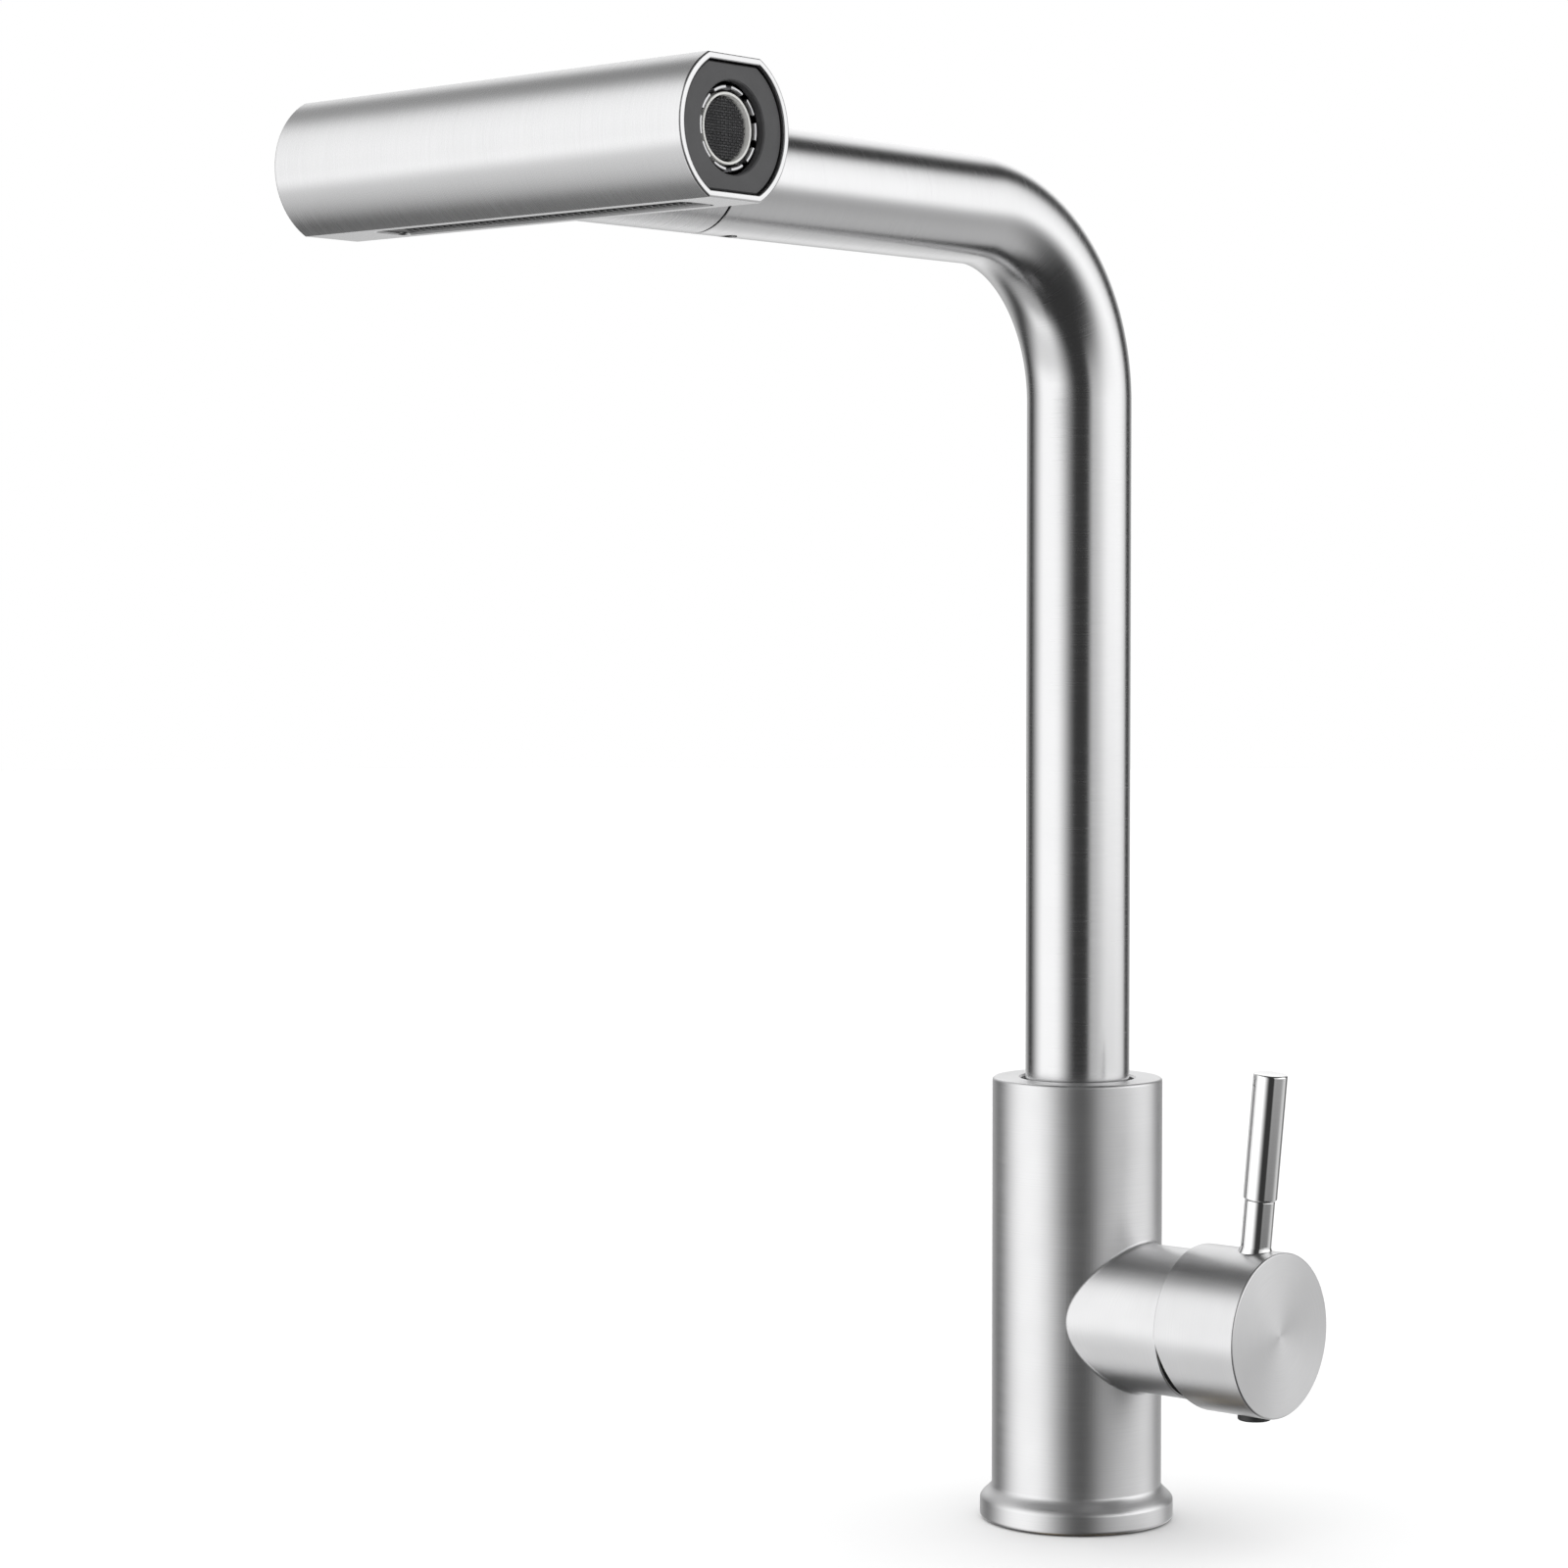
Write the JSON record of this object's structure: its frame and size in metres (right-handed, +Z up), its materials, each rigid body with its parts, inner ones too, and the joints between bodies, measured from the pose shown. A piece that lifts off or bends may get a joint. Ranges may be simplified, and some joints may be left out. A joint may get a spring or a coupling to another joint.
{
  "type": "pull-out kitchen tap",
  "caption": "Single-lever kitchen tap with a tall L-shaped swivel spout and a pull-out T-shaped head, with an aerator in one end and a long slot outlet underneath.",
  "frame": {"origin": "on the riser's axis, in the plane of the worktop under the base", "axes": "+Z up along the riser, -Y along the spout's arm towards the head, +X along the lever's boss"},
  "size_m": [0.1317, 0.2574, 0.4327],
  "materials": {
    "body_steel": "brushed round the body",
    "spout_steel": "brushed, satin",
    "head_steel": "brushed, satin",
    "cap_steel": "brushed round, face spun",
    "lever_chrome": "polished",
    "brass": "turned, bare",
    "steel_fittings": "turned",
    "black_plastic": "moulded, matt",
    "grey_plastic": "moulded, matt dark grey",
    "white_plastic": "moulded",
    "rubber": "moulded",
    "ceramic": "lapped",
    "hose_braid": "braided nylon"
  },
  "bodies": {
    "root": {"body_shell": "body_steel", "base_gasket": "rubber", "mounting_shank": "brass", "rubber_washer": "rubber", "clamp_washer": "steel_fittings", "shank_nut": "brass", "valve_manifold": "brass", "hot_tail": "brass", "cold_tail": "brass", "outlet_tail": "brass", "cartridge_housing": "grey_plastic", "cartridge_base": "grey_plastic", "cartridge_port_seal": "rubber", "fixed_ceramic_disc": "ceramic", "cartridge_nut": "brass", "dust_seal": "rubber", "upper_swivel_bush": "white_plastic", "lower_swivel_bush": "white_plastic", "swivel_circlip": "steel_fittings", "spout_grub_screw": "steel_fittings", "lower_hose": "hose_braid"},
    "rotor": {"cartridge_rotor": "white_plastic", "lever_pin": "steel_fittings"},
    "disc": {"moving_ceramic_disc": "ceramic", "disc_carrier": "white_plastic"},
    "handle": {"lever_stem": "steel_fittings", "handle_cap": "cap_steel", "lever_rod": "lever_chrome", "lever_grip": "lever_chrome", "handle_grub_screw": "steel_fittings", "index_plug": "black_plastic"},
    "spout": {"spout_tube": "spout_steel", "swivel_adapter": "brass", "swivel_oring_upper": "rubber", "swivel_oring_lower": "rubber", "riser_hose": "hose_braid", "dock_sleeve": "black_plastic", "dock_screw": "black_plastic"},
    "hose_end": {"wand_hose": "hose_braid", "hose_ferrule": "steel_fittings", "hose_nut": "brass"},
    "wand": {"dock_plug": "black_plastic", "dock_oring": "rubber", "check_valve": "white_plastic", "neck_tube": "spout_steel", "head_shell": "head_steel", "water_chamber": "black_plastic", "curtain_plate": "black_plastic", "flow_straightener": "white_plastic", "end_plate": "grey_plastic", "aerator_housing": "steel_fittings", "aerator_ring": "white_plastic", "aerator_mesh": "grey_plastic", "aerator_washer": "rubber", "button_plate": "grey_plastic"},
    "button": {"mode_button": "black_plastic", "diverter_spool": "brass", "spool_oring_inner": "rubber", "spool_oring_outer": "rubber", "button_spring": "steel_fittings"}
  },
  "joints": [
    {"name": "spout_swivel", "type": "hinge", "parent": "root", "child": "spout", "pos_m": [0, 0, 0], "axis": [0, 0, 1], "continuous": true},
    {"name": "head_pullout", "type": "slide", "parent": "spout", "child": "hose_end", "axis": [0, -1, 0], "range_m": [0, 0.4]},
    {"name": "head_turn", "type": "hinge", "parent": "hose_end", "child": "wand", "pos_m": [0, -0.2116, 0.349], "axis": [0, 1, 0], "range_deg": [-90, 90]},
    {"name": "temperature_turn", "type": "hinge", "parent": "root", "child": "rotor", "pos_m": [0, 0, 0.0567], "axis": [1, 0, 0], "range_deg": [-45, 45]},
    {"name": "flow_lift", "type": "hinge", "parent": "rotor", "child": "handle", "pos_m": [0.0275, 0, 0.0567], "axis": [0, 1, 0], "range_deg": [0, 25]},
    {"name": "disc_slide", "type": "slide", "parent": "rotor", "child": "disc", "axis": [0, 0, 1], "range_m": [0, 0.0038]},
    {"name": "mode_push", "type": "slide", "parent": "wand", "child": "button", "axis": [1, 0, 0], "range_m": [0, 0.004], "stiffness_N_per_m": 300, "springref_m": -0.004}
  ],
  "couplings": [
    {"joint": "disc_slide", "follows": "flow_lift", "m_per_rad": 0.00843}
  ]
}
